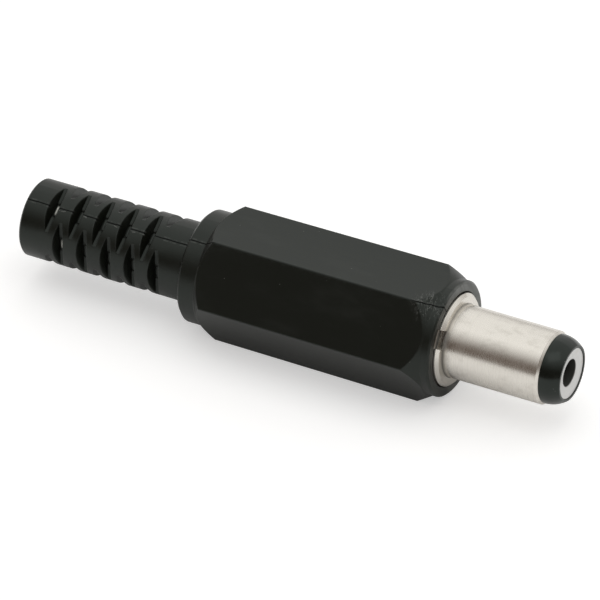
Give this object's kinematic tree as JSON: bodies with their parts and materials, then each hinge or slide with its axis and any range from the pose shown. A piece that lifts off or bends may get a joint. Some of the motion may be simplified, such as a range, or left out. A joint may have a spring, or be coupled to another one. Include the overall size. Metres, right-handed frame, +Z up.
{
  "type": "dc barrel plug",
  "caption": "Cable-mount DC power plug: plated barrel with an insulated nose and centre socket, held in a screw-on hexagonal hood with a slotted strain-relief boot.",
  "frame": {"origin": "on the plug's axis, at the front face of the barrel's flange, which stops against the jack", "axes": "+X along the axis towards the tip, +Z up with the plug lying on one flat of its hexagon, +Y to the side"},
  "size_m": [0.0438, 0.0102, 0.0088],
  "materials": {
    "hood_black": "satin moulded black",
    "nickel_barrel": "nickel plated, turned",
    "nose_black": "smooth moulded black",
    "nickel_contact": "nickel plated, matt",
    "bush_black": "smooth moulded black",
    "tag_metal": "tin plated, stamped"
  },
  "bodies": {
    "insert": {"barrel": "nickel_barrel", "tip_insulator": "nose_black", "centre_contact": "nickel_contact", "rear_insulator": "bush_black", "sleeve_tag": "tag_metal", "centre_tag": "tag_metal"},
    "hood": {"hood": "hood_black"}
  },
  "joints": [
    {"name": "hood_draw", "type": "slide", "parent": "insert", "child": "hood", "axis": [-1, 0, 0], "range_m": [0, 0.025]}
  ]
}
